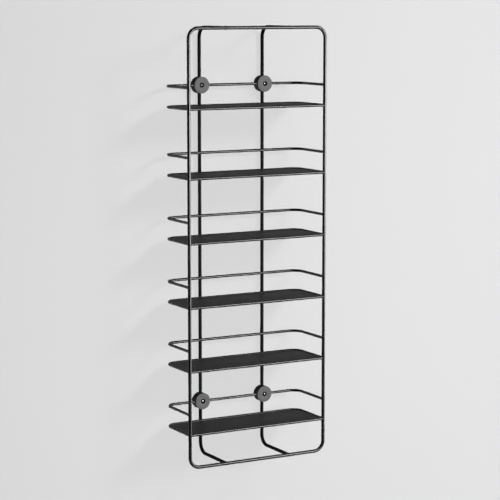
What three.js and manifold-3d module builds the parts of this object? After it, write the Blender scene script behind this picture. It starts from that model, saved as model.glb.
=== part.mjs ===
// A tall wall rack bent and welded from round steel rod, with six sheet steel shelves.
//
// Millimetres, +X to the right, +Y into the wall, +Z up. The origin lies on the wall, on the
// rack's middle line and halfway up its front frame.

import * as THREE from 'three';
import { mergeVertices } from 'three/addons/utils/BufferGeometryUtils.js';
import Module from 'manifold-3d';

const wasm = await Module();
wasm.setup();

// Overall sizes, to rod centre lines
const frameWidth = 440;
const frameHeight = 1240;
const frameDepth = 160; // front frame to rear uprights
const uprightSpacing = 207;

// Rod and sheet stock
const frameRodDiameter = 10;
const railRodDiameter = 8;
const bendRadius = 30; // of every bend, to the rod's centre line
const plateThickness = 2;

// Shelves and the guard rail over each one
const shelfCount = 6;
const lowestShelfHeight = 94.5; // over the frame's bottom bar
const shelfPitch = 182;
const topShelfPitch = 194; // the top shelf stands this far over the one below it
const railHeight = 59; // guard rail over its own shelf
const plateCornerCut = 3; // clears the weld at each front upright

// Wall hubs and their screws
const hubDiameter = 48;
const hubThickness = 26;
const hubEdgeRound = 1.2;
const socketDepth = 9; // how far a rod's end goes into a hub
const counterboreDiameter = 14;
const counterboreDepth = 7;
const screwHoleDiameter = 5.6;
const screwHeadDiameter = 11.6;
const screwHeadHeight = 5.4;
const screwShankDiameter = 5;
const screwLength = 60; // under the head
const screwTipLength = 7;
const driveWidth = 4; // across the flats of the hexagon socket
const driveDepth = 2.6;

// Fits
const weldGap = 0.3; // between pieces that a weld joins
const socketClearance = 0.3; // round a rod in its hub socket
const seatGap = 0.3; // under a screw's head

// Facets. The count round a rod is a multiple of four, so that a rod and its socket line up.
const rodSides = 12;
const bendSteps = 5;
const hubSides = 28;
const screwSides = 16;
const roundSteps = 3;

const frameRodRadius = frameRodDiameter / 2;
const railRodRadius = railRodDiameter / 2;
const hubRadius = hubDiameter / 2;

// Inside a hub the rail passes in front of the upright, and the pair is centred in its thickness.
const crossingDepth = frameRodDiameter + weldGap + railRodDiameter;
const uprightY = -(hubThickness - crossingDepth) / 2 - frameRodRadius;
const railY = uprightY - frameRodRadius - weldGap - railRodRadius;
const frontY = uprightY - frameDepth;
const frameBackY = frontY + frameRodRadius + weldGap; // where rods meet the front frame's back
const sideX = frameWidth / 2;
const uprightX = uprightSpacing / 2;
const barZ = frameHeight / 2;

const shelfHeights = [];
for (let i = 0; i < shelfCount; i += 1) {
  const steps = shelfCount - 1 - i; // shelf 1 is the highest
  const extra = i === 0 ? topShelfPitch - shelfPitch : 0;
  shelfHeights.push(-barZ + lowestShelfHeight + steps * shelfPitch + extra);
}
const railHeights = shelfHeights.map((z) => z + railHeight);
const topHubZ = railHeights[0];
const bottomHubZ = railHeights[shelfCount - 1];

const rodCoat = { color: 0x1b1b1c, roughness: 0.45, metalness: 0.1 };
const shelfCoat = { color: 0x2c2c2d, roughness: 0.6, metalness: 0.1 };
const hubCoat = { color: 0x4a4a4b, roughness: 0.75, metalness: 0.2 };
const screwCoat = { color: 0x0e0e0f, roughness: 0.25, metalness: 0.6 };

const rack = new THREE.Group();

function addPiece(name, geometry, finish) {
  const mesh = new THREE.Mesh(geometry, new THREE.MeshStandardMaterial(finish));
  mesh.name = name;
  rack.add(mesh);
  return mesh;
}

// The centre line of a bent rod: straight runs between corners, each corner turned at one
// radius. A straight run is one step, and a bend is bendSteps steps.
class RodLine extends THREE.Curve {
  constructor(corners, radius) {
    super();
    this.stations = [];
    this.addStation(corners[0], corners[1].clone().sub(corners[0]).normalize());
    for (let i = 1; i < corners.length - 1; i += 1) {
      this.addBend(corners[i - 1], corners[i], corners[i + 1], radius);
    }
    const [before, end] = corners.slice(-2);
    this.addStation(end, end.clone().sub(before).normalize());
  }

  addStation(point, tangent) {
    this.stations.push({ point: point.clone(), tangent: tangent.clone() });
  }

  addBend(before, corner, after, radius) {
    const into = corner.clone().sub(before).normalize();
    const out = after.clone().sub(corner).normalize();
    const turn = into.angleTo(out);
    const inward = out.clone().addScaledVector(into, -out.dot(into)).normalize();
    const start = corner.clone().addScaledVector(into, -radius * Math.tan(turn / 2));
    const centre = start.clone().addScaledVector(inward, radius);
    for (let k = 0; k <= bendSteps; k += 1) {
      const angle = (turn * k) / bendSteps;
      const point = centre.clone()
        .addScaledVector(inward, -radius * Math.cos(angle))
        .addScaledVector(into, radius * Math.sin(angle));
      const tangent = into.clone().multiplyScalar(Math.cos(angle))
        .addScaledVector(inward, Math.sin(angle));
      this.addStation(point, tangent);
    }
  }

  get steps() {
    return this.stations.length - 1;
  }

  // Blends one field of the two stations either side of t.
  between(t, field, target) {
    const place = Math.min(Math.max(t, 0), 1) * this.steps;
    const index = Math.min(Math.floor(place + 1e-9), this.steps - 1);
    const [low, high] = [this.stations[index], this.stations[index + 1]];
    return target.copy(low[field]).lerp(high[field], place - index);
  }

  getPoint(t, target = new THREE.Vector3()) {
    return this.between(t, 'point', target);
  }

  getPointAt(t, target = new THREE.Vector3()) {
    return this.between(t, 'point', target);
  }

  getTangent(t, target = new THREE.Vector3()) {
    return this.between(t, 'tangent', target).normalize();
  }

  getTangentAt(t, target = new THREE.Vector3()) {
    return this.getTangent(t, target);
  }
}

function roundSection(radius, sides) {
  const points = [];
  for (let i = 0; i < sides; i += 1) {
    const angle = (2 * Math.PI * i) / sides;
    points.push(new THREE.Vector2(radius * Math.cos(angle), radius * Math.sin(angle)));
  }
  return new THREE.Shape(points);
}

// A round rod through the given corners, each an [x, y, z].
function rodGeometry(corners, radius) {
  const line = new RodLine(corners.map((c) => new THREE.Vector3(...c)), bendRadius);
  return new THREE.ExtrudeGeometry(roundSection(radius, rodSides), {
    extrudePath: line,
    steps: line.steps,
  });
}

// Points of a quarter circle from one angle to another, as [x, y].
function arcPoints(centreX, centreY, radius, fromAngle, toAngle, steps) {
  const points = [];
  for (let i = 0; i <= steps; i += 1) {
    const angle = fromAngle + ((toAngle - fromAngle) * i) / steps;
    points.push([centreX + radius * Math.cos(angle), centreY + radius * Math.sin(angle)]);
  }
  return points;
}

// Booleans: a closed three.js geometry becomes a solid, and a solid becomes a geometry again.
function toSolid(geometry) {
  const bare = geometry.clone();
  bare.deleteAttribute('normal');
  bare.deleteAttribute('uv');
  const merged = mergeVertices(bare, 1e-4);
  return new wasm.Manifold(new wasm.Mesh({
    numProp: 3,
    vertProperties: new Float32Array(merged.attributes.position.array),
    triVerts: new Uint32Array(merged.index.array),
  }));
}

function toGeometry(solid) {
  const mesh = solid.getMesh();
  const geometry = new THREE.BufferGeometry();
  geometry.setAttribute('position', new THREE.BufferAttribute(mesh.vertProperties, 3));
  geometry.setIndex(new THREE.BufferAttribute(mesh.triVerts, 1));
  geometry.computeVertexNormals();
  return geometry;
}

// The front frame: a closed loop of rod in two bent halves, butt-welded at the middle of the
// top bar and of the bottom bar.
function makeFrontFrame() {
  for (const [name, side] of [['frame_left_half', -1], ['frame_right_half', 1]]) {
    const corners = [
      [side * weldGap / 2, frontY, barZ],
      [side * sideX, frontY, barZ],
      [side * sideX, frontY, -barZ],
      [side * weldGap / 2, frontY, -barZ],
    ];
    addPiece(name, rodGeometry(corners, frameRodRadius), rodCoat);
  }
}

// Each rear upright is three rods: a straight one between its two hubs, and one above and one
// below that bend forward to the front frame's bars.
function makeUprights() {
  const reach = hubRadius - socketDepth; // from a hub's centre to the end of a rod in it
  for (const [side, x] of [['left', -uprightX], ['right', uprightX]]) {
    const top = [[x, frameBackY, barZ], [x, uprightY, barZ], [x, uprightY, topHubZ + reach]];
    const middle = [[x, uprightY, topHubZ - reach], [x, uprightY, bottomHubZ + reach]];
    const bottom = [[x, uprightY, bottomHubZ - reach], [x, uprightY, -barZ], [x, frameBackY, -barZ]];
    addPiece(`${side}_upright_top`, rodGeometry(top, frameRodRadius), rodCoat);
    addPiece(`${side}_upright_middle`, rodGeometry(middle, frameRodRadius), rodCoat);
    addPiece(`${side}_upright_bottom`, rodGeometry(bottom, frameRodRadius), rodCoat);
  }
}

// A guard rail in one piece: out from one front upright, across in front of the rear uprights,
// and forward to the other front upright.
function wholeRail(z) {
  const corners = [
    [-sideX, frameBackY, z],
    [-sideX, railY, z],
    [sideX, railY, z],
    [sideX, frameBackY, z],
  ];
  return rodGeometry(corners, railRodRadius);
}

// The top and bottom rails run into the wall hubs, so each is three rods.
function makeHubRail(number, z) {
  const hubEnd = uprightX + hubRadius - socketDepth;
  const middleEnd = uprightX - hubRadius + socketDepth;
  for (const [name, side] of [['left', -1], ['right', 1]]) {
    const corners = [
      [side * sideX, frameBackY, z],
      [side * sideX, railY, z],
      [side * hubEnd, railY, z],
    ];
    addPiece(`rail_${number}_${name}`, rodGeometry(corners, railRodRadius), rodCoat);
  }
  const middle = [[-middleEnd, railY, z], [middleEnd, railY, z]];
  addPiece(`rail_${number}_middle`, rodGeometry(middle, railRodRadius), rodCoat);
}

function makeRails() {
  railHeights.forEach((z, i) => {
    if (z === topHubZ || z === bottomHubZ) {
      makeHubRail(i + 1, z);
    } else {
      addPiece(`rail_${i + 1}`, wholeRail(z), rodCoat);
    }
  });
}

// The sheet fills its rim, with rounded back corners and a small cut at each front corner.
function plateGeometry(z) {
  const halfWidth = sideX - railRodRadius - weldGap;
  const backY = railY - railRodRadius - weldGap;
  const frontEdgeY = frontY + railRodRadius + weldGap;
  const cornerRadius = bendRadius - railRodRadius - weldGap;
  const centreX = halfWidth - cornerRadius;
  const centreY = backY - cornerRadius;
  const quarter = Math.PI / 2;
  const outline = [
    [-halfWidth + plateCornerCut, frontEdgeY],
    [halfWidth - plateCornerCut, frontEdgeY],
    [halfWidth, frontEdgeY + plateCornerCut],
    ...arcPoints(centreX, centreY, cornerRadius, 0, quarter, bendSteps),
    ...arcPoints(-centreX, centreY, cornerRadius, quarter, 2 * quarter, bendSteps),
    [-halfWidth, frontEdgeY + plateCornerCut],
  ];
  const shape = new THREE.Shape(outline.map(([x, y]) => new THREE.Vector2(x, y)));
  const geometry = new THREE.ExtrudeGeometry(shape, { depth: plateThickness, bevelEnabled: false });
  geometry.translate(0, 0, z - plateThickness / 2);
  return geometry;
}

// A shelf: its sheet, the bent rim rod round its sides and back, and the rod along its front.
function makeShelves() {
  const frontRodEnd = sideX - frameRodRadius - weldGap;
  shelfHeights.forEach((z, i) => {
    const frontRod = [[-frontRodEnd, frontY, z], [frontRodEnd, frontY, z]];
    addPiece(`shelf_${i + 1}_plate`, plateGeometry(z), shelfCoat);
    addPiece(`shelf_${i + 1}_rim`, wholeRail(z), rodCoat);
    addPiece(`shelf_${i + 1}_front_rod`, rodGeometry(frontRod, railRodRadius), rodCoat);
  });
}

// A turned hub about the Y axis, its back on the wall, bored and counterbored for its screw.
function hubBlank() {
  const face = -hubThickness;
  const seat = face + counterboreDepth;
  const corner = hubRadius - hubEdgeRound;
  const right = 0;
  const down = -Math.PI / 2;
  const profile = [
    [screwHoleDiameter / 2, 0],
    [corner, 0],
    [hubRadius, -hubEdgeRound],
    ...arcPoints(corner, face + hubEdgeRound, hubEdgeRound, right, down, roundSteps),
    [counterboreDiameter / 2, face],
    [counterboreDiameter / 2, seat],
    [screwHoleDiameter / 2, seat],
    [screwHoleDiameter / 2, 0],
  ];
  const points = profile.map(([radius, y]) => new THREE.Vector2(radius, y)).reverse();
  return new THREE.LatheGeometry(points, hubSides);
}

// The four blind sockets in a hub's rim: the rail's from both sides, the upright's from above
// and below.
function hubSockets() {
  const inner = hubRadius - socketDepth - socketClearance;
  const outer = hubRadius + socketDepth;
  const railSocket = railRodRadius + socketClearance;
  const uprightSocket = frameRodRadius + socketClearance;
  return [
    rodGeometry([[-outer, railY, 0], [-inner, railY, 0]], railSocket),
    rodGeometry([[inner, railY, 0], [outer, railY, 0]], railSocket),
    rodGeometry([[0, uprightY, outer], [0, uprightY, inner]], uprightSocket),
    rodGeometry([[0, uprightY, -inner], [0, uprightY, -outer]], uprightSocket),
  ];
}

function hubGeometry() {
  let hub = toSolid(hubBlank());
  for (const socket of hubSockets()) {
    hub = hub.subtract(toSolid(socket));
  }
  return toGeometry(hub);
}

// A domed wood screw about the Y axis, its head seated in the hub's counterbore.
function screwGeometry() {
  const seat = -hubThickness + counterboreDepth - seatGap;
  const top = seat - screwHeadHeight;
  const headRadius = screwHeadDiameter / 2;
  const shankRadius = screwShankDiameter / 2;
  const domeSteps = 5;
  const brim = 0.2 * screwHeadHeight; // the straight edge under the dome
  const profile = [[0, top]];
  for (let i = 1; i <= domeSteps; i += 1) {
    const angle = (Math.PI / 2) * (i / domeSteps);
    profile.push([headRadius * Math.sin(angle), seat - brim - (screwHeadHeight - brim) * Math.cos(angle)]);
  }
  profile.push(
    [headRadius, seat],
    [shankRadius, seat],
    [shankRadius, seat + screwLength - screwTipLength],
    [0, seat + screwLength],
  );
  const points = profile.map(([radius, y]) => new THREE.Vector2(radius, y));
  const body = new THREE.LatheGeometry(points, screwSides);
  const driveRadius = driveWidth / 2 / Math.cos(Math.PI / 6);
  const drive = new THREE.CylinderGeometry(driveRadius, driveRadius, 2 * driveDepth, 6);
  drive.translate(0, top, 0);
  return toGeometry(toSolid(body).subtract(toSolid(drive)));
}

function makeWallFixings() {
  const places = [
    ['top_left', -uprightX, topHubZ],
    ['top_right', uprightX, topHubZ],
    ['bottom_left', -uprightX, bottomHubZ],
    ['bottom_right', uprightX, bottomHubZ],
  ];
  for (const [name, x, z] of places) {
    addPiece(`${name}_hub`, hubGeometry(), hubCoat).position.set(x, 0, z);
    addPiece(`${name}_screw`, screwGeometry(), screwCoat).position.set(x, 0, z);
  }
}

makeFrontFrame();
makeUprights();
makeRails();
makeShelves();
makeWallFixings();

export default rack;
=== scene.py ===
import math

import bmesh
import bpy
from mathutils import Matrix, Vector, noise


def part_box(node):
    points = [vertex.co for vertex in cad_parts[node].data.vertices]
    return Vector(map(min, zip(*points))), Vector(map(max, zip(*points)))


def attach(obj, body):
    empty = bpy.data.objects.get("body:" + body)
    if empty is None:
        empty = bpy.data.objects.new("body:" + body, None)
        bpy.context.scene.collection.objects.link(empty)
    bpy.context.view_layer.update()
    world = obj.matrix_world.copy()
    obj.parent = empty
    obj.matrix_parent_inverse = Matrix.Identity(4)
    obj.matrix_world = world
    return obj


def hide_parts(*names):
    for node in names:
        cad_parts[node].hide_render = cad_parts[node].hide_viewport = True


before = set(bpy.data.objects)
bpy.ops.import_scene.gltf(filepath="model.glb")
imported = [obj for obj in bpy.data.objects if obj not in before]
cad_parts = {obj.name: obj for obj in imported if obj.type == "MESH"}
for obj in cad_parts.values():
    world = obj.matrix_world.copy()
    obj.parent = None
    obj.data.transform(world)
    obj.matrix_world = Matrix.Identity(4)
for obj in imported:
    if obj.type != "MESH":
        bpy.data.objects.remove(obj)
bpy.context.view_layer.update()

mm = 0.001
fullTurn = 2 * math.pi
scene = bpy.context.scene


# an sRGB hex colour as the linear RGBA that shaders take
def linear(hexColour):
    channels = [int(hexColour[i:i + 2], 16) / 255 for i in (1, 3, 5)]
    return [c / 12.92 if c <= 0.04045 else ((c + 0.055) / 1.055) ** 2.4 for c in channels] + [1.0]


# one node: a value goes to the setting or socket of its name, a link joins a socket to an output
def addNode(tree, kind, values=None, links=None):
    node = tree.nodes.new("ShaderNode" + kind)
    for key, value in (values or {}).items():
        if isinstance(key, str) and hasattr(node, key):
            setattr(node, key, value)
        else:
            isColour = isinstance(value, str)
            node.inputs[key].default_value = linear(value) if isColour else value
    for key, source in (links or {}).items():
        tree.links.new(source, node.inputs[key])
    return node


# an empty material, with its tree, the surface's own coordinates in metres, and its geometry
def newCoat(name):
    coat = bpy.data.materials.new(name)
    coat.use_nodes = True
    tree = coat.node_tree
    tree.nodes.clear()
    return coat, tree, addNode(tree, "TexCoord").outputs["Object"], addNode(tree, "NewGeometry")


rodFinish = {
    "colour": "#0b0b0c",
    "thinColour": "#232324",      # where the coat pulls thin over edges and weld ripples
    "dustColour": "#57554f",      # fine house dust that settles on upward sides
    "dustShare": 0.05,
    "roughness": (0.22, 0.30),
    "gloss": 0.5,
    "peelSize": 1.6 * mm,         # real orange peel is about 0.8 mm; doubled so that it shows
    "peelHeight": 0.016 * mm,
    "cloudSize": 60 * mm,         # how far apart the coat is a little more or less glossy
    "dustSize": 9 * mm,
}

# painted shade: the uprights by the wall get a darker copy of the rod coat with weaker shine, so
# that they stay darker than the frame under the same lamps
shadedUprightFinish = dict(rodFinish, colour="#060607", roughness=(0.5, 0.6), gloss=0.06)


# Polyester powder coat sprayed on bent steel rod and oven-cured: satin black, with a faint
# orange peel that breaks long highlights.
def satinPowderCoat(name, look):
    coat, tree, place, geometry = newCoat(name)
    clouds = addNode(tree, "TexNoise", {"Scale": 1 / look["cloudSize"], "Detail": 3.0},
                     {"Vector": place}).outputs["Fac"]
    peel = addNode(tree, "TexNoise", {"Scale": 1 / look["peelSize"], "Detail": 1.0},
                   {"Vector": place}).outputs["Fac"]
    specks = addNode(tree, "TexNoise",
                     {"Scale": 1 / look["dustSize"], "Detail": 4.0, "Roughness": 0.7},
                     {"Vector": place}).outputs["Fac"]
    edges = addNode(tree, "MapRange", {"From Min": 0.53, "From Max": 0.60},
                    {"Value": geometry.outputs["Pointiness"]}).outputs["Result"]
    facing = addNode(tree, "SeparateXYZ", links={"Vector": geometry.outputs["Normal"]})
    upward = addNode(tree, "MapRange", {"From Min": 0.55, "To Max": look["dustShare"]},
                     {"Value": facing.outputs["Z"]}).outputs["Result"]
    patchy = addNode(tree, "MapRange", {"From Min": 0.42, "From Max": 0.62},
                     {"Value": specks}).outputs["Result"]
    dust = addNode(tree, "Math", {"operation": "MULTIPLY"}, {0: upward, 1: patchy}).outputs[0]
    body = addNode(tree, "Mix", {"data_type": "RGBA", 6: look["colour"], 7: look["thinColour"]},
                   {0: edges}).outputs[2]
    body = addNode(tree, "Mix", {"data_type": "RGBA", 7: look["dustColour"]},
                   {0: dust, 6: body}).outputs[2]
    low, high = look["roughness"]
    shine = addNode(tree, "MapRange",
                    {"From Min": 0.3, "From Max": 0.7, "To Min": low, "To Max": high},
                    {"Value": clouds}).outputs["Result"]
    shine = addNode(tree, "Math", {"operation": "ADD"}, {0: shine, 1: dust}).outputs[0]
    bump = addNode(tree, "Bump", {"Distance": look["peelHeight"], "Strength": 1.0},
                   {"Height": peel})
    shader = addNode(tree, "BsdfPrincipled", {"IOR": 1.5, "Specular IOR Level": look["gloss"]},
                     {"Base Color": body, "Roughness": shine, "Normal": bump.outputs[0]})
    addNode(tree, "OutputMaterial", links={"Surface": shader.outputs[0]})
    return coat


sheetFinish = {
    "colour": "#111112",
    "scuffColour": "#242424",     # dry rub marks from goods slid in and out
    "dustColour": "#5a5852",
    "roughness": (0.42, 0.54),
    "gloss": 0.28,
    "bloom": 0.04,                # dry powder looks paler seen along the sheet
    "grainSize": 1.4 * mm,        # fine-texture powder; the real grain is nearer 0.5 mm
    "grainHeight": 0.03 * mm,
    "cloudSize": 45 * mm,
    "waveSize": 150 * mm,         # thin sheet pulls slightly out of flat as it is welded
    "waveHeight": 0.25 * mm,
    "scuffLength": 70 * mm,
    "scuffWidth": 1.8 * mm,
}


# Fine-texture powder coat on cold-rolled sheet: drier than the rods, with a slow waviness from
# welding and faint rub marks that run front to back.
def matteSheetCoat(name, look):
    coat, tree, place, geometry = newCoat(name)
    grain = addNode(tree, "TexNoise",
                    {"Scale": 1 / look["grainSize"], "Detail": 2.0, "Roughness": 0.6},
                    {"Vector": place}).outputs["Fac"]
    wave = addNode(tree, "TexNoise", {"Scale": 1 / look["waveSize"], "Detail": 1.0},
                   {"Vector": place}).outputs["Fac"]
    clouds = addNode(tree, "TexNoise",
                     {"Scale": 1 / look["cloudSize"], "Detail": 4.0, "Roughness": 0.6},
                     {"Vector": place}).outputs["Fac"]
    across, along = 1 / look["scuffWidth"], 1 / look["scuffLength"]
    drawn = addNode(tree, "Mapping", {"Scale": (across, along, across)},
                    {"Vector": place}).outputs[0]
    streaks = addNode(tree, "TexNoise", {"Scale": 1.0, "Detail": 3.0, "Roughness": 0.6},
                      {"Vector": drawn}).outputs["Fac"]
    rubbed = addNode(tree, "MapRange", {"From Min": 0.60, "From Max": 0.78, "To Max": 0.35},
                     {"Value": streaks}).outputs["Result"]
    used = addNode(tree, "MapRange", {"From Min": 0.45, "From Max": 0.7},
                   {"Value": clouds}).outputs["Result"]
    scuffs = addNode(tree, "Math", {"operation": "MULTIPLY"}, {0: rubbed, 1: used}).outputs[0]
    facing = addNode(tree, "SeparateXYZ", links={"Vector": geometry.outputs["Normal"]})
    upward = addNode(tree, "MapRange", {"From Min": 0.6, "To Max": 0.06},
                     {"Value": facing.outputs["Z"]}).outputs["Result"]
    dust = addNode(tree, "Math", {"operation": "MULTIPLY"}, {0: upward, 1: clouds}).outputs[0]
    body = addNode(tree, "Mix", {"data_type": "RGBA", 6: look["colour"], 7: look["scuffColour"]},
                   {0: scuffs}).outputs[2]
    body = addNode(tree, "Mix", {"data_type": "RGBA", 7: look["dustColour"]},
                   {0: dust, 6: body}).outputs[2]
    low, high = look["roughness"]
    shine = addNode(tree, "MapRange",
                    {"From Min": 0.3, "From Max": 0.7, "To Min": low, "To Max": high},
                    {"Value": clouds}).outputs["Result"]
    shine = addNode(tree, "Math", {"operation": "ADD"}, {0: shine, 1: scuffs}).outputs[0]
    slow = addNode(tree, "Bump", {"Distance": look["waveHeight"], "Strength": 1.0},
                   {"Height": wave})
    bump = addNode(tree, "Bump", {"Distance": look["grainHeight"], "Strength": 1.0},
                   {"Height": grain, "Normal": slow.outputs[0]})
    shader = addNode(tree, "BsdfPrincipled",
                     {"IOR": 1.5, "Specular IOR Level": look["gloss"],
                      "Sheen Weight": look["bloom"], "Sheen Roughness": 0.4},
                     {"Base Color": body, "Roughness": shine, "Normal": bump.outputs[0]})
    addNode(tree, "OutputMaterial", links={"Surface": shader.outputs[0]})
    return coat


hubFinish = {
    "colour": "#545455",
    "fleckColour": "#8c8c8d",
    "pitColour": "#2e2e2f",
    "rimColour": "#0a0a0b",
    "wornColour": "#9a9a9b",      # the face's edge, where the coat has rubbed light
    "roughness": (0.5, 0.72),
    "fleckSize": 2.2 * mm,        # blast pits are about 0.3 mm; drawn far coarser so they show
    "pitHeight": 0.12 * mm,
}


# Turned steel, grit-blasted and finished in a thin dark grey coat: a granular face of fine
# light and dark flecks, with black sides and a face edge rubbed light.
def blastedHubCoat(name, look, faceDepth):
    coat, tree, place, geometry = newCoat(name)
    flecks = addNode(tree, "TexNoise",
                     {"Scale": 1 / look["fleckSize"], "Detail": 5.0, "Roughness": 0.8},
                     {"Vector": place}).outputs["Fac"]
    pits = addNode(tree, "TexNoise",
                   {"Scale": 4 / look["fleckSize"], "Detail": 2.0, "Roughness": 0.6},
                   {"Vector": place}).outputs["Fac"]
    light = addNode(tree, "MapRange", {"From Min": 0.5, "From Max": 0.72},
                    {"Value": flecks}).outputs["Result"]
    dark = addNode(tree, "MapRange", {"From Min": 0.46, "From Max": 0.3},
                   {"Value": flecks}).outputs["Result"]
    body = addNode(tree, "Mix", {"data_type": "RGBA", 6: look["colour"], 7: look["fleckColour"]},
                   {0: light}).outputs[2]
    body = addNode(tree, "Mix", {"data_type": "RGBA", 7: look["pitColour"]},
                   {0: dark, 6: body}).outputs[2]
    edges = addNode(tree, "MapRange", {"From Min": 0.51, "From Max": 0.56, "To Max": 0.7},
                    {"Value": geometry.outputs["Pointiness"]}).outputs["Result"]
    body = addNode(tree, "Mix", {"data_type": "RGBA", 7: look["wornColour"]},
                   {0: edges, 6: body}).outputs[2]
    # the face looks out from the wall; everything else is as black as the rods
    facing = addNode(tree, "SeparateXYZ", links={"Vector": geometry.outputs["Normal"]})
    depth = addNode(tree, "SeparateXYZ", links={"Vector": place})
    atFace = addNode(tree, "MapRange", {"From Min": faceDepth + 1.5 * mm,
                                        "From Max": faceDepth + 0.5 * mm},
                     {"Value": depth.outputs["Y"]}).outputs["Result"]
    outward = addNode(tree, "MapRange", {"From Min": -0.3, "From Max": -0.8},
                      {"Value": facing.outputs["Y"]}).outputs["Result"]
    face = addNode(tree, "Math", {"operation": "MULTIPLY"}, {0: atFace, 1: outward}).outputs[0]
    body = addNode(tree, "Mix", {"data_type": "RGBA", 6: look["rimColour"]},
                   {0: face, 7: body}).outputs[2]
    low, high = look["roughness"]
    shine = addNode(tree, "MapRange",
                    {"From Min": 0.35, "From Max": 0.65, "To Min": low, "To Max": high},
                    {"Value": flecks}).outputs["Result"]
    bump = addNode(tree, "Bump", {"Distance": look["pitHeight"], "Strength": 0.7},
                   {"Height": pits})
    shader = addNode(tree, "BsdfPrincipled", {"IOR": 1.5, "Specular IOR Level": 0.3},
                     {"Base Color": body, "Roughness": shine, "Normal": bump.outputs[0]})
    addNode(tree, "OutputMaterial", links={"Surface": shader.outputs[0]})
    return coat


screwFinish = {
    "colour": "#0a0a0b",
    "wornColour": "#9b9b9d",      # bare steel on thread crests, where the wall has rubbed it
    "roughness": (0.16, 0.26),
    "patchSize": 3 * mm,
    "peelSize": 1.0 * mm,
    "peelHeight": 0.01 * mm,
}


# Hardened steel with glossy black paint: sharp highlights, and bright where thread crests are
# rubbed bare.
def blackScrewPaint(name, look):
    coat, tree, place, geometry = newCoat(name)
    patches = addNode(tree, "TexNoise",
                      {"Scale": 1 / look["patchSize"], "Detail": 3.0, "Roughness": 0.6},
                      {"Vector": place}).outputs["Fac"]
    peel = addNode(tree, "TexNoise", {"Scale": 1 / look["peelSize"], "Detail": 1.0},
                   {"Vector": place}).outputs["Fac"]
    edges = addNode(tree, "MapRange", {"From Min": 0.56, "From Max": 0.64},
                    {"Value": geometry.outputs["Pointiness"]}).outputs["Result"]
    bare = addNode(tree, "Math", {"operation": "MULTIPLY"}, {0: edges, 1: patches}).outputs[0]
    body = addNode(tree, "Mix", {"data_type": "RGBA", 6: look["colour"], 7: look["wornColour"]},
                   {0: bare}).outputs[2]
    low, high = look["roughness"]
    shine = addNode(tree, "MapRange",
                    {"From Min": 0.3, "From Max": 0.7, "To Min": low, "To Max": high},
                    {"Value": patches}).outputs["Result"]
    bump = addNode(tree, "Bump", {"Distance": look["peelHeight"], "Strength": 1.0},
                   {"Height": peel})
    shader = addNode(tree, "BsdfPrincipled", {"IOR": 1.5},
                     {"Base Color": body, "Metallic": bare, "Roughness": shine,
                      "Normal": bump.outputs[0]})
    addNode(tree, "OutputMaterial", links={"Surface": shader.outputs[0]})
    return coat


bareFinish = {
    "colour": "#9c9ea1",
    "dullColour": "#57585a",      # flecks of paint and grease left in the marks
    "roughness": (0.24, 0.36),
    "fleckSize": 1.2 * mm,
    "scratchSize": 0.5 * mm,      # real scratches are near 0.05 mm; far coarser so that they show
    "scratchHeight": 0.008 * mm,
}


# Steel rubbed bare by the driver round the screw's socket: a soft mirror that flares white where
# it turns to the lamps.
def rubbedSteel(name, look):
    coat, tree, place, geometry = newCoat(name)
    flecks = addNode(tree, "TexNoise",
                     {"Scale": 1 / look["fleckSize"], "Detail": 3.0, "Roughness": 0.6},
                     {"Vector": place}).outputs["Fac"]
    scratches = addNode(tree, "TexNoise", {"Scale": 1 / look["scratchSize"], "Detail": 2.0},
                        {"Vector": place}).outputs["Fac"]
    dull = addNode(tree, "MapRange", {"From Min": 0.5, "From Max": 0.75},
                   {"Value": flecks}).outputs["Result"]
    body = addNode(tree, "Mix", {"data_type": "RGBA", 6: look["colour"], 7: look["dullColour"]},
                   {0: dull}).outputs[2]
    low, high = look["roughness"]
    shine = addNode(tree, "MapRange",
                    {"From Min": 0.3, "From Max": 0.7, "To Min": low, "To Max": high},
                    {"Value": flecks}).outputs["Result"]
    bump = addNode(tree, "Bump", {"Distance": look["scratchHeight"], "Strength": 1.0},
                   {"Height": scratches})
    shader = addNode(tree, "BsdfPrincipled", {"Metallic": 1.0},
                     {"Base Color": body, "Roughness": shine, "Normal": bump.outputs[0]})
    addNode(tree, "OutputMaterial", links={"Surface": shader.outputs[0]})
    return coat


# where things are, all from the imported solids
def centreOf(node):
    low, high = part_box(node)
    return (low + high) / 2


frameLow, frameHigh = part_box("frame_left_half")
frameRod = (frameHigh.y - frameLow.y) / 2
frontY = centreOf("frame_left_half").y
sideX = -frameLow.x - frameRod
barZ = frameHigh.z - frameRod
uprightX = -centreOf("left_upright_middle").x
uprightY = centreOf("left_upright_middle").y
railRod = (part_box("rail_1_middle")[1].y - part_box("rail_1_middle")[0].y) / 2
railY = centreOf("rail_1_middle").y
shelfCount = sum(name.endswith("_plate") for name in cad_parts)
shelfHeights = [centreOf(f"shelf_{i}_plate").z for i in range(1, shelfCount + 1)]
railHeights = [centreOf(f"rail_{i}_middle" if i in (1, shelfCount) else f"rail_{i}").z
               for i in range(1, shelfCount + 1)]
hubLow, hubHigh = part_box("top_left_hub")
hubRadius = (hubHigh.x - hubLow.x) / 2
hubFace = hubLow.y
topHub = centreOf("top_left_hub").z
bottomHub = centreOf("bottom_left_hub").z
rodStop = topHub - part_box("left_upright_middle")[1].z  # from a hub's centre to a rod's end in it

rodBend = {"radius": 30 * mm, "steps": 18, "sides": 32}


def addPiece(name, verts, faces, coat, slotName, nodes=(), sharpAngle=40):
    mesh = bpy.data.meshes.new(name)
    mesh.from_pydata(verts, [], faces)
    shape = bmesh.new()
    shape.from_mesh(mesh)
    bmesh.ops.recalc_face_normals(shape, faces=shape.faces)  # all faces look outward
    shape.to_mesh(mesh)
    shape.free()
    mesh.polygons.foreach_set("use_smooth", [True] * len(mesh.polygons))
    mesh.set_sharp_from_angle(angle=math.radians(sharpAngle))
    mesh.materials.append(coat)
    mesh.update()
    piece = bpy.data.objects.new(name, mesh)
    scene.collection.objects.link(piece)
    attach(piece, "root")
    if nodes:
        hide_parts(*nodes)
    return piece


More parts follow.
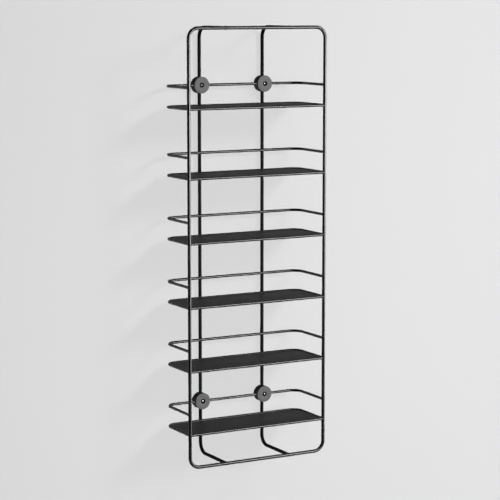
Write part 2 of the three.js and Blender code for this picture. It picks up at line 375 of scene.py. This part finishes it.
# points and directions along a rod: straight runs, and an arc at each corner between them
def centreLine(corners, bend):
    corners = [Vector(c) for c in corners]
    line = [(corners[0], (corners[1] - corners[0]).normalized())]
    for before, corner, after in zip(corners, corners[1:], corners[2:]):
        arriving = (corner - before).normalized()
        leaving = (after - corner).normalized()
        turn = arriving.angle(leaving)
        inward = (leaving - arriving * leaving.dot(arriving)).normalized()
        start = corner - arriving * bend["radius"] * math.tan(turn / 2)
        centre = start + inward * bend["radius"]
        for k in range(bend["steps"] + 1):
            angle = turn * k / bend["steps"]
            line.append((centre + bend["radius"] * (arriving * math.sin(angle)
                                                    - inward * math.cos(angle)),
                         arriving * math.cos(angle) + inward * math.sin(angle)))
    line.append((corners[-1], (corners[-1] - corners[-2]).normalized()))
    return line


# a closed tube round a line whose points all lie in one plane
def tube(line, radius, sides, chamfer=0.4 * mm):
    start = line[0][1]
    turns = [start.cross(t) for _, t in line if start.angle(t) > math.radians(5)]
    flat = (turns[0] if turns else start.orthogonal()).normalized()
    stations = [(p, t, radius) for p, t in line]
    first, last = stations[0], stations[-1]
    stations[0] = (first[0] + first[1] * chamfer, first[1], radius)
    stations[-1] = (last[0] - last[1] * chamfer, last[1], radius)
    stations.insert(0, (first[0], first[1], radius - chamfer))
    stations.append((last[0], last[1], radius - chamfer))
    verts = []
    for point, tangent, size in stations:
        across = tangent.cross(flat)
        for s in range(sides):
            angle = fullTurn * s / sides
            verts.append(point + size * (flat * math.cos(angle) + across * math.sin(angle)))
    faces = []
    for row in range(len(stations) - 1):
        for s in range(sides):
            a, b = row * sides + s, row * sides + (s + 1) % sides
            faces.append((a, b, b + sides, a + sides))
    faces.append(tuple(range(sides))[::-1])
    faces.append(tuple(len(verts) - sides + s for s in range(sides)))
    return verts, faces


def addRod(name, corners, radius, coat, nodes):
    verts, faces = tube(centreLine(corners, rodBend), radius, rodBend["sides"])
    return addPiece(name, verts, faces, coat, "rod_coat", nodes)


def joinMeshes(meshes):
    verts, faces = [], []
    for moreVerts, moreFaces in meshes:
        faces += [tuple(i + len(verts) for i in face) for face in moreFaces]
        verts += moreVerts
    return verts, faces


weldBead = {
    "size": 0.9 * mm,             # a TIG fillet's own radius, under the coat
    "barSize": 1.0 * mm,          # where a front bar meets an upright
    "collarSize": 0.5 * mm,       # where a rod goes into a hub
    "ripple": 0.12 * mm,          # height of the frozen ripples
    "rippleLength": 1.1 * mm,
    "lumpSize": 3 * mm,           # the hand's slow wander along the bead
    "lumpShare": 0.22,
    "stations": 40,
    "sides": 8,
}


# a closed ring of weld along a loop of points; each seed gives the bead its own unevenness
def beadLoop(points, size, seed):
    verts, faces = [], []
    count = len(points)
    middle = sum(points, Vector()) / count
    length = sum((points[i] - points[i - 1]).length for i in range(count))
    ripples = max(6, round(length / weldBead["rippleLength"]))
    for i, point in enumerate(points):
        along = (points[(i + 1) % count] - points[i - 1]).normalized()
        out = point - middle
        out = (out - along * out.dot(along)).normalized()
        up = along.cross(out)
        wave = math.cos(fullTurn * ripples * i / count)
        wander = noise.noise(point / weldBead["lumpSize"] + Vector((seed, 0, 0)))
        thick = size * (1 + weldBead["lumpShare"] * wander) + weldBead["ripple"] * wave
        for s in range(weldBead["sides"]):
            angle = fullTurn * s / weldBead["sides"]
            verts.append(point + thick * (out * math.cos(angle) + up * math.sin(angle)))
    sides = weldBead["sides"]
    for i in range(count):
        for s in range(sides):
            a, b = i * sides + s, i * sides + (s + 1) % sides
            c, d = (a + sides) % len(verts), (b + sides) % len(verts)
            faces.append((a, c, d, b))
    return verts, faces


# the weld where a rod butts against a round bar: leg points away from the bar, whose own
# direction is along, and both centre lines meet at centre
def saddleWeld(centre, leg, legRadius, along, barRadius, seed, size=weldBead["size"]):
    leg, along = Vector(leg), Vector(along)
    side = leg.cross(along)
    points = []
    for i in range(weldBead["stations"]):
        angle = fullTurn * i / weldBead["stations"]
        sideways = legRadius * math.sin(angle)
        rise = math.sqrt(max(barRadius ** 2 - sideways ** 2, 0))
        points.append(Vector(centre) + leg * rise + side * sideways
                      + along * legRadius * math.cos(angle))
    return beadLoop(points, size, seed)


spotWeld = {
    "crossing": (3.4 * mm, 1.5 * mm, 3.4 * mm),  # half sizes, where two rods cross and fuse
    "tackLength": 6 * mm,         # half sizes of a tack under a sheet
    "tackWidth": 1.7 * mm,
    "tackHeight": 1.2 * mm,
    "unevenness": 0.14,
    "noiseScale": 1.7,
    "noiseRow": 3.1,              # apart from the rows that the beads' noise uses
    "rows": 8,
    "columns": 16,
}


# the fused spot where two rods cross and touch, or a short tack: a small rounded lump
def lump(centre, sizes, seed):
    rows, columns = spotWeld["rows"], spotWeld["columns"]
    verts, faces = [], []
    for r in range(1, rows):
        polar = math.pi * r / rows
        for c in range(columns):
            angle = fullTurn * c / columns
            way = Vector((math.sin(polar) * math.cos(angle), math.sin(polar) * math.sin(angle),
                          math.cos(polar)))
            uneven = noise.noise(way * spotWeld["noiseScale"]
                                 + Vector((seed, spotWeld["noiseRow"], 0)))
            swell = 1 + spotWeld["unevenness"] * uneven
            verts.append(Vector(centre) + Vector([w * s * swell for w, s in zip(way, sizes)]))
    top, bottom = len(verts), len(verts) + 1
    verts.append(Vector(centre) + Vector((0, 0, sizes[2])))
    verts.append(Vector(centre) - Vector((0, 0, sizes[2])))
    for r in range(rows - 2):
        for c in range(columns):
            a, b = r * columns + c, r * columns + (c + 1) % columns
            faces.append((a, a + columns, b + columns, b))
    for c in range(columns):
        b = (c + 1) % columns
        faces.append((top, c, b))
        faces.append((bottom, (rows - 2) * columns + b, (rows - 2) * columns + c))
    return verts, faces


# a shape turned round the Y axis through centre, from (radius, y) pairs that make a closed loop
def turned(profile, centre, sides):
    verts, faces = [], []
    for radius, y in profile:
        for s in range(sides):
            angle = fullTurn * s / sides
            verts.append(Vector((centre[0] + radius * math.cos(angle), y,
                                 centre[2] + radius * math.sin(angle))))
    rows = len(profile)
    for r in range(rows):
        for s in range(sides):
            a, b = r * sides + s, r * sides + (s + 1) % sides
            c, d = (a + sides) % len(verts), (b + sides) % len(verts)
            faces.append((a, c, d, b))
    return verts, faces


rodCoat = satinPowderCoat("satinBlackPowderCoat", rodFinish)
# the uprights' coat is painted shade: a darker, less shiny copy of the rods' coat
shadedUprightCoat = satinPowderCoat("shadedBlackPowderCoat", shadedUprightFinish)
sheetCoat = matteSheetCoat("matteBlackSheetCoat", sheetFinish)
hubCoat = blastedHubCoat("blastedDarkGreySteel", hubFinish, hubFace)
screwPaint = blackScrewPaint("glossBlackScrewPaint", screwFinish)
bareSteel = rubbedSteel("rubbedBareSteel", bareFinish)
print("finishes made")


sink = 1.2 * mm  # how far a welded rod's end is fused into the rod it meets
legEnd = frontY + frameRod - sink

for half, side in (("left", -1), ("right", 1)):
    addRod(f"frame_{half}_half_rod",
           [(0, frontY, barZ), (side * sideX, frontY, barZ), (side * sideX, frontY, -barZ),
            (0, frontY, -barZ)],
           frameRod, rodCoat, [f"frame_{half}_half"])

for half, side in (("left", -1), ("right", 1)):
    x = side * uprightX
    parts = {
        "top": [(x, legEnd, barZ), (x, uprightY, barZ), (x, uprightY, topHub + rodStop)],
        "middle": [(x, uprightY, topHub - rodStop), (x, uprightY, bottomHub + rodStop)],
        "bottom": [(x, uprightY, bottomHub - rodStop), (x, uprightY, -barZ), (x, legEnd, -barZ)],
    }
    for part, corners in parts.items():
        addRod(f"{half}_upright_{part}_rod", corners, frameRod, shadedUprightCoat,
               [f"{half}_upright_{part}"])

# the weld that joins the frame's halves is ground back almost flush
buttWeld = {"size": 0.5 * mm, "sunk": 0.35 * mm, "stations": 48}

frameWelds = []
for end in (-1, 1):
    for side in (-1, 1):
        frameWelds.append(saddleWeld((side * uprightX, frontY, end * barZ), (0, 1, 0), frameRod,
                                     (1, 0, 0), frameRod, end + 2.3 * side))
    ringRadius = frameRod - buttWeld["sunk"]
    angles = [fullTurn * i / buttWeld["stations"] for i in range(buttWeld["stations"])]
    ring = [Vector((0, frontY + ringRadius * math.cos(angle),
                    end * barZ + ringRadius * math.sin(angle))) for angle in angles]
    frameWelds.append(beadLoop(ring, buttWeld["size"], end))
addPiece("frame_welds", *joinMeshes(frameWelds), rodCoat, "rod_coat")
print("frame and uprights made")


# a rail's or rim's welds to the front uprights, and to the rear ones where it crosses them
def railWelds(z, crossings, seed):
    welds = []
    for side in (-1, 1):
        welds.append(saddleWeld((side * sideX, frontY, z), (0, 1, 0), railRod, (0, 0, 1), frameRod,
                                seed + side))
        if crossings:
            gapMiddle = (uprightY - frameRod + railY + railRod) / 2
            welds.append(lump((side * uprightX, gapMiddle, z), spotWeld["crossing"],
                              seed + 5 * side))
    return welds


for number, z in enumerate(railHeights, start=1):
    if f"rail_{number}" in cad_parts:
        addRod(f"rail_{number}_rod",
               [(-sideX, legEnd, z), (-sideX, railY, z), (sideX, railY, z), (sideX, legEnd, z)],
               railRod, rodCoat, [f"rail_{number}"])
        addPiece(f"rail_{number}_welds", *joinMeshes(railWelds(z, True, number * 1.7)), rodCoat,
                 "rod_coat")
        continue
    for half, side in (("left", -1), ("right", 1)):
        addRod(f"rail_{number}_{half}_rod",
               [(side * sideX, legEnd, z), (side * sideX, railY, z),
                (side * (uprightX + rodStop), railY, z)],
               railRod, rodCoat, [f"rail_{number}_{half}"])
    middleEnd = uprightX - rodStop
    addRod(f"rail_{number}_middle_rod", [(-middleEnd, railY, z), (middleEnd, railY, z)], railRod,
           rodCoat, [f"rail_{number}_middle"])
    addPiece(f"rail_{number}_welds", *joinMeshes(railWelds(z, False, number * 1.7)), rodCoat,
             "rod_coat")
print("guard rails made")


sheet = {
    "halfThickness": 1.0 * mm,
    "edgeRound": 0.6 * mm,        # sheared edge, softened by the coat
    "roundSteps": 4,
    "cornerCut": 3.0 * mm,
    "cornerSteps": 14,
    "intoRod": 0.5 * mm,          # the weld fuses the sheet's edge into the rods
    "tackInset": 0.9 * mm,        # from a rod's edge to a tack's middle
    "tackDrop": 0.3 * mm,
    "longTacks": (-150 * mm, -50 * mm, 50 * mm, 150 * mm),  # along the front and the back
    "sideTacks": (0.3, 0.7),      # shares of the way back along each side
}


# the sheet's outline, drawn in from its edge by inset
def sheetOutline(inset):
    half = sideX - railRod + sheet["intoRod"] - inset
    back = railY - railRod + sheet["intoRod"] - inset
    front = frontY + railRod - sheet["intoRod"] + inset
    corner = rodBend["radius"] - railRod + sheet["intoRod"] - inset
    cut = sheet["cornerCut"]
    points = [(-half + cut, front), (half - cut, front), (half, front + cut)]
    for centreX, start in ((half - corner, 0), (corner - half, math.pi / 2)):
        for k in range(sheet["cornerSteps"] + 1):
            angle = start + math.pi / 2 * k / sheet["cornerSteps"]
            points.append((centreX + corner * math.cos(angle),
                           back - corner + corner * math.sin(angle)))
    points.append((-half, front + cut))
    return points


# the sheet: its outline swept round a softened edge, with flat faces above and below
def sheetMesh(z):
    soft, thick, steps = sheet["edgeRound"], sheet["halfThickness"], sheet["roundSteps"]
    rings = []
    for side in (-1, 1):
        arc = [math.pi / 2 * k / steps for k in range(steps + 1)]
        for angle in (arc if side < 0 else reversed(arc)):
            rings.append((soft * (1 - math.sin(angle)),
                          side * (thick - soft + soft * math.cos(angle))))
    verts, faces = [], []
    for inset, height in rings:
        verts += [Vector((x, y, z + height)) for x, y in sheetOutline(inset)]
    count = len(sheetOutline(0))
    for r in range(len(rings) - 1):
        for s in range(count):
            a, b = r * count + s, r * count + (s + 1) % count
            faces.append((a, b, b + count, a + count))
    faces.append(tuple(range(count))[::-1])
    faces.append(tuple(len(verts) - count + s for s in range(count)))
    return verts, faces


# short welds under the sheet, where it meets the rods
def sheetTacks(z, seed):
    tacks = []
    inset, under = sheet["tackInset"], z - sheet["halfThickness"] - sheet["tackDrop"]
    length, width, height = (spotWeld[size] for size in ("tackLength", "tackWidth", "tackHeight"))
    for k, x in enumerate(sheet["longTacks"]):
        for y, inward in ((frontY + railRod, 1), (railY - railRod, -1)):
            tacks.append(lump((x, y + inward * inset, under), (length, width, height),
                              seed + k * 1.3 + inward))
    for k, share in enumerate(sheet["sideTacks"]):
        for side in (-1, 1):
            y = frontY + (railY - frontY) * share
            tacks.append(lump((side * (sideX - railRod - inset), y, under),
                              (width, length, height), seed + k * 2.1 + side))
    return tacks


for number, z in enumerate(shelfHeights, start=1):
    addPiece(f"shelf_{number}_sheet", *sheetMesh(z), sheetCoat, "shelf_coat",
             [f"shelf_{number}_plate"])
    addRod(f"shelf_{number}_rim_rod",
           [(-sideX, legEnd, z), (-sideX, railY, z), (sideX, railY, z), (sideX, legEnd, z)],
           railRod, rodCoat, [f"shelf_{number}_rim"])
    rodEnd = sideX - frameRod + sink
    addRod(f"shelf_{number}_front_bar", [(-rodEnd, frontY, z), (rodEnd, frontY, z)], railRod,
           rodCoat, [f"shelf_{number}_front_rod"])
    welds = railWelds(z, True, number * 2.9)
    for side in (-1, 1):
        welds.append(saddleWeld((side * sideX, frontY, z), (-side, 0, 0), railRod, (0, 0, 1),
                                frameRod, number + 0.4 * side, weldBead["barSize"]))
    addPiece(f"shelf_{number}_welds", *joinMeshes(welds + sheetTacks(z, number)), rodCoat,
             "rod_coat")
print("shelves made")


hub = {
    "edgeRound": 1.2 * mm,
    "boreRadius": 2.8 * mm,
    "counterboreRadius": 7 * mm,
    "counterboreDepth": 7 * mm,
    "mouthRound": 0.5 * mm,
    "backChamfer": 1.2 * mm,
    "edgeSteps": 6,
    "mouthSteps": 4,
    "sides": 96,
}


# (radius, y) pairs from the bore at the wall, out round the rim and in to the counterbore
def hubProfile():
    profile = [(hub["boreRadius"], 0), (hubRadius - hub["backChamfer"], 0),
               (hubRadius, -hub["backChamfer"])]
    for k in range(hub["edgeSteps"] + 1):
        angle = math.pi / 2 * k / hub["edgeSteps"]
        profile.append((hubRadius - hub["edgeRound"] * (1 - math.cos(angle)),
                        hubFace + hub["edgeRound"] * (1 - math.sin(angle))))
    mouth = hub["mouthRound"]
    for k in range(hub["mouthSteps"] + 1):
        angle = math.pi / 2 * k / hub["mouthSteps"]
        profile.append((hub["counterboreRadius"] + mouth * (1 - math.sin(angle)),
                        hubFace + mouth * (1 - math.cos(angle))))
    profile += [(hub["counterboreRadius"], hubFace + hub["counterboreDepth"]),
                (hub["boreRadius"], hubFace + hub["counterboreDepth"])]
    return profile


screw = {
    "headRadius": 5.8 * mm,
    "brim": 0.4,                  # share of the head's height under the dome
    "rubbedRadius": 2.3 * mm,     # how far round the socket the paint has gone
    "driveWidth": 2.6 * mm,       # across the flats of the hexagon socket
    "driveDepth": 2.2 * mm,
    "shankRadius": 2.1 * mm,
    "coreRadius": 1.7 * mm,
    "threadRadius": 2.5 * mm,
    "pitch": 2.2 * mm,
    "plainLength": 18 * mm,       # the shank under the head has no thread
    "tipLength": 8 * mm,
    "crestWidth": 0.22,           # half a thread crest's width, as a share of the pitch
    "driveTaper": 0.98,
    "driveLip": 0.15 * mm,        # small bevels at the socket's mouth and the head's brim
    "lipWidth": 0.12 * mm,
    "seatGap": 0.3 * mm,          # between the head and the counterbore's floor
    "domeSteps": 10,
    "stepsPerTurn": 10,
    "sides": 48,
}


# the screw as rings from the drive's bottom, out over the dome and down the thread to the tip
def screwMesh(centre, headTop, seat, tip):
    sides = screw["sides"]
    height = seat - headTop
    brim = screw["brim"] * height

    def dome(radius):
        share = min(radius / screw["headRadius"], 1)
        return seat - brim - (height - brim) * math.sqrt(1 - share ** 2)

    def hexagon(angle):
        turn = (angle + math.pi / 6) % (math.pi / 3) - math.pi / 6
        return screw["driveWidth"] / 2 / math.cos(turn)

    rings = []
    angles = [fullTurn * s / sides for s in range(sides)]
    drive = [hexagon(a) for a in angles]
    lip = screw["driveLip"]
    rings.append([(r * screw["driveTaper"], headTop + screw["driveDepth"]) for r in drive])
    rings.append([(r, dome(r) + lip) for r in drive])
    for k in range(screw["domeSteps"] + 1):
        share = math.sin(math.pi / 2 * k / screw["domeSteps"])
        starts = [r + screw["lipWidth"] for r in drive]
        radii = [r + (screw["headRadius"] - r) * share for r in starts]
        rings.append([(r, dome(r)) for r in radii])
    rings.append([(screw["headRadius"], seat - lip)] * sides)
    rings.append([(screw["headRadius"] - lip, seat)] * sides)
    rings.append([(screw["shankRadius"], seat)] * sides)
    threadStart = seat + screw["plainLength"]
    rings.append([(screw["shankRadius"], threadStart)] * sides)
    steps = screw["stepsPerTurn"]
    count = math.floor((tip - threadStart) / screw["pitch"] * steps)
    for k in range(1, count):
        y = threadStart + k * screw["pitch"] / steps
        grow = min((y - threadStart) / screw["pitch"], 1)
        narrow = min(max((tip - y) / screw["tipLength"], 0.02), 1)
        ring = []
        for angle in angles:
            phase = (y / screw["pitch"] - angle / fullTurn) % 1
            crest = max(0, 1 - abs(phase - 0.5) / screw["crestWidth"])
            depth = (screw["threadRadius"] - screw["coreRadius"]) * crest * grow
            base = screw["coreRadius"] + (screw["shankRadius"] - screw["coreRadius"]) * (1 - grow)
            ring.append((base * narrow + depth * min(1, 1.3 * narrow), y))
        rings.append(ring)
    verts, faces = [], []
    for ring in rings:
        verts += [Vector((centre[0] + r * math.cos(a), y, centre[2] + r * math.sin(a)))
                  for (r, y), a in zip(ring, angles)]
    for r in range(len(rings) - 1):
        for s in range(sides):
            a, b = r * sides + s, r * sides + (s + 1) % sides
            faces.append((a, a + sides, b + sides, b))
    faces.append(tuple(range(sides)))
    point = len(verts)
    verts.append(Vector((centre[0], tip, centre[2])))
    last = (len(rings) - 1) * sides
    faces += [(last + (s + 1) % sides, last + s, point) for s in range(sides)]
    return verts, faces


for place in ("top_left", "top_right", "bottom_left", "bottom_right"):
    centre = centreOf(f"{place}_hub")
    addPiece(f"{place}_hub_disc", *turned(hubProfile(), centre, hub["sides"]), hubCoat,
             "hub_coat", [f"{place}_hub"], sharpAngle=35)
    low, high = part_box(f"{place}_screw")
    seatY = hubFace + hub["counterboreDepth"] - screw["seatGap"]
    woodScrew = addPiece(f"{place}_wood_screw", *screwMesh(centre, low.y, seatY, high.y),
                         screwPaint, "screw_steel", [f"{place}_screw"], sharpAngle=35)
    woodScrew.data.materials.append(bareSteel)
    for face in woodScrew.data.polygons:
        fromAxis = math.hypot(face.center.x - centre.x, face.center.z - centre.z)
        if face.center.y < seatY and fromAxis < screw["rubbedRadius"]:
            face.material_index = 1
    collars = []
    for side in (-1, 1):
        collars.append(saddleWeld((centre.x, railY, centre.z), (side, 0, 0), railRod, (0, 1, 0),
                                  hubRadius, side, weldBead["collarSize"]))
        collars.append(saddleWeld((centre.x, uprightY, centre.z), (0, 0, side), frameRod,
                                  (0, 1, 0), hubRadius, 2 * side, weldBead["collarSize"]))
    addPiece(f"{place}_hub_welds", *joinMeshes(collars), rodCoat, "rod_coat")
print("hubs and screws made")


studio = {
    "wallColour": "#e4e4e4",
    "wallPatchColour": "#e6e6e6",
    "floorColour": "#e6e6e5",
    "floorPatchColour": "#e9e9e9",
    "floorDrop": 0.46,            # metres from the rack's bottom down to the floor
    "wallHalfWidth": 4.0,
    "wallHeight": 3.4,
    "floorReach": 12.0,
    "rollerSize": 3 * mm,         # the stipple that a short-pile roller leaves
    "rollerHeight": 0.05 * mm,
    "lapSize": 1 / 1.7,           # metres between the overlaps of roller strokes
    "airColour": "#e9e9e9",       # plain backdrop round the wall, and the faint light from it
    "airLight": 0.05,
    "airGlow": 0.03,              # what the rods mirror where no softbox is
}


def addPlane(name, corners, coat, bounces):
    mesh = bpy.data.meshes.new(name)
    mesh.from_pydata(corners, [], [(0, 1, 2, 3)])
    mesh.materials.append(coat)
    plane = bpy.data.objects.new(name, mesh)
    scene.collection.objects.link(plane)
    plane.visible_glossy = False  # the black coats mirror the softboxes, not the room
    plane.visible_diffuse = bounces
    return plane


# Matt emulsion rolled on plaster: a fine stipple with hardly any shine. The wall is clear from
# behind, so that the rack's back can be looked at.
def rolledEmulsion(name, colour, patchColour, clearBehind):
    coat, tree, place, geometry = newCoat(name)
    stipple = addNode(tree, "TexNoise", {"Scale": 1 / studio["rollerSize"], "Detail": 2.0},
                      {"Vector": place}).outputs["Fac"]
    laps = addNode(tree, "TexNoise", {"Scale": 1 / studio["lapSize"], "Detail": 2.0},
                   {"Vector": place})
    body = addNode(tree, "Mix", {"data_type": "RGBA", 6: colour, 7: patchColour},
                   {0: laps.outputs["Fac"]}).outputs[2]
    bump = addNode(tree, "Bump", {"Distance": studio["rollerHeight"], "Strength": 0.6},
                   {"Height": stipple})
    shader = addNode(tree, "BsdfPrincipled", {"Roughness": 0.9, "Specular IOR Level": 0.2},
                     {"Base Color": body, "Normal": bump.outputs[0]})
    if clearBehind:
        clear = addNode(tree, "BsdfTransparent")
        shader = addNode(tree, "MixShader", links={0: geometry.outputs["Backfacing"],
                                                   1: shader.outputs[0], 2: clear.outputs[0]})
    addNode(tree, "OutputMaterial", links={"Surface": shader.outputs[0]})
    return coat


floorZ = -barZ - frameRod - studio["floorDrop"]
half, top, reach = studio["wallHalfWidth"], floorZ + studio["wallHeight"], studio["floorReach"]
addPlane("studio_wall", [(-half, 0, floorZ), (half, 0, floorZ), (half, 0, top), (-half, 0, top)],
         rolledEmulsion("wallEmulsion", studio["wallColour"], studio["wallPatchColour"], True),
         bounces=True)
addPlane("studio_floor", [(-reach, -reach, floorZ), (reach, -reach, floorZ),
                          (reach, reach, floorZ), (-reach, reach, floorZ)],
         rolledEmulsion("floorPaint", studio["floorColour"], studio["floorPatchColour"], False),
         bounces=False)


# The air round the studio: pale to look at and faint as light; in reflections it is nearly dark,
# with a low band of glow behind the wall that the shelves pick up at a glancing angle.
def studioAir():
    world = bpy.data.worlds.new("studioAir")
    world.use_nodes = True
    tree = world.node_tree
    tree.nodes.clear()
    rays = addNode(tree, "LightPath")
    way = addNode(tree, "SeparateXYZ",
                  links={"Vector": addNode(tree, "TexCoord").outputs["Generated"]})
    behind = addNode(tree, "MapRange", {"From Min": 0.2, "From Max": 0.7},
                     {"Value": way.outputs["Y"]}).outputs["Result"]
    low = addNode(tree, "MapRange",
                  {"From Min": 0.16, "From Max": 0.02, "To Min": 0.16, "To Max": 0.75},
                  {"Value": way.outputs["Z"]}).outputs["Result"]
    glow = addNode(tree, "Math", {"operation": "MULTIPLY"}, {0: behind, 1: low}).outputs[0]
    glow = addNode(tree, "Math", {"operation": "ADD", 1: studio["airGlow"]}, {0: glow}).outputs[0]
    light = addNode(tree, "Mix", {"data_type": "FLOAT", 2: studio["airLight"]},
                    {0: rays.outputs["Is Glossy Ray"], 3: glow}).outputs[0]
    light = addNode(tree, "Mix", {"data_type": "FLOAT", 3: 1.0},
                    {0: rays.outputs["Is Camera Ray"], 2: light}).outputs[0]
    air = addNode(tree, "Background", {"Color": studio["airColour"]}, {"Strength": light})
    addNode(tree, "OutputWorld", links={"Surface": air.outputs[0]})
    scene.world = world


studioAir()

# Lamps by direction from the rack: azimuth from straight in front, to the right, and elevation,
# in degrees; distance and size in metres; power in watts.
lamps = {
    # even light from the front, so soft that the rack throws no shadow of its own in it
    "even_fill": {"from": (10, -5), "distance": 8.0, "size": (3.0, 2.0), "power": 488,
                  "shadow": False, "inGloss": False, "lights": True},
    "key_softbox": {"from": (42, 28), "distance": 5.0, "size": (1.1, 1.1), "power": 34,
                    "shadow": True, "inGloss": True, "lights": True},
    # wide reflector cards, seen only as the highlights along the rods
    "front_card": {"from": (29, 1), "distance": 4.5, "size": (2.0, 1.0), "power": 190,
                   "shadow": True, "inGloss": True, "lights": False},
    "side_card": {"from": (66, -6), "distance": 4.5, "size": (4.0, 2.2), "power": 220,
                  "shadow": True, "inGloss": True, "lights": False},
}


def addLamp(name, look):
    azimuth, elevation = (math.radians(angle) for angle in look["from"])
    place = look["distance"] * Vector((math.sin(azimuth) * math.cos(elevation),
                                       -math.cos(azimuth) * math.cos(elevation),
                                       math.sin(elevation)))
    light = bpy.data.lights.new(name, "AREA")
    light.shape = "RECTANGLE"
    light.size, light.size_y = look["size"]
    light.energy = look["power"]
    light.use_shadow = look["shadow"]
    lamp = bpy.data.objects.new(name, light)
    scene.collection.objects.link(lamp)
    lamp.location = place
    lamp.rotation_euler = (-place).to_track_quat("-Z", "Y").to_euler()
    lamp.visible_camera = False
    lamp.visible_diffuse = look["lights"]
    lamp.visible_glossy = look["inGloss"]


for name, look in lamps.items():
    addLamp(name, look)

# the fill and the cards leave the floor alone: they would make bright pools on it
unfilled = bpy.data.collections.new("unfilled")
unfilled.objects.link(bpy.data.objects["studio_floor"])
unfilled.collection_objects[0].light_linking.link_state = "EXCLUDE"
for name in ("even_fill", "front_card", "side_card"):
    bpy.data.objects[name].light_linking.receiver_collection = unfilled

# a broad skylight straight overhead, so that the floor is as pale as the wall
overhead = {"energy": 2.9, "angle": 50}
skylight = bpy.data.lights.new("skylight", "SUN")
skylight.energy = overhead["energy"]
skylight.angle = math.radians(overhead["angle"])
skylight.use_shadow = False
above = bpy.data.objects.new("skylight", skylight)
scene.collection.objects.link(above)
above.visible_glossy = False

# view from the left front, a little above the top bar
camera = {
    "place": (-2.5122, -4.6253, 0.690),
    "turn": 29.155,               # degrees to the right of straight at the wall
    "tip": 7.472,                 # degrees downward
    "lens": 130.437,              # mm, on a sensor 36 mm wide
    "sensor": 36,
    "rise": -0.020,               # shift, as a share of the picture's width
}
lens = bpy.data.cameras.new("studio_camera")
lens.sensor_width = camera["sensor"]
lens.lens = camera["lens"]
lens.shift_y = camera["rise"]
lens.clip_end = 100
eye = bpy.data.objects.new("studio_camera", lens)
eye.location = camera["place"]
eye.rotation_euler = (math.radians(90 - camera["tip"]), 0, -math.radians(camera["turn"]))
scene.collection.objects.link(eye)
scene.camera = eye
scene.view_settings.view_transform = "Standard"
print("studio made")
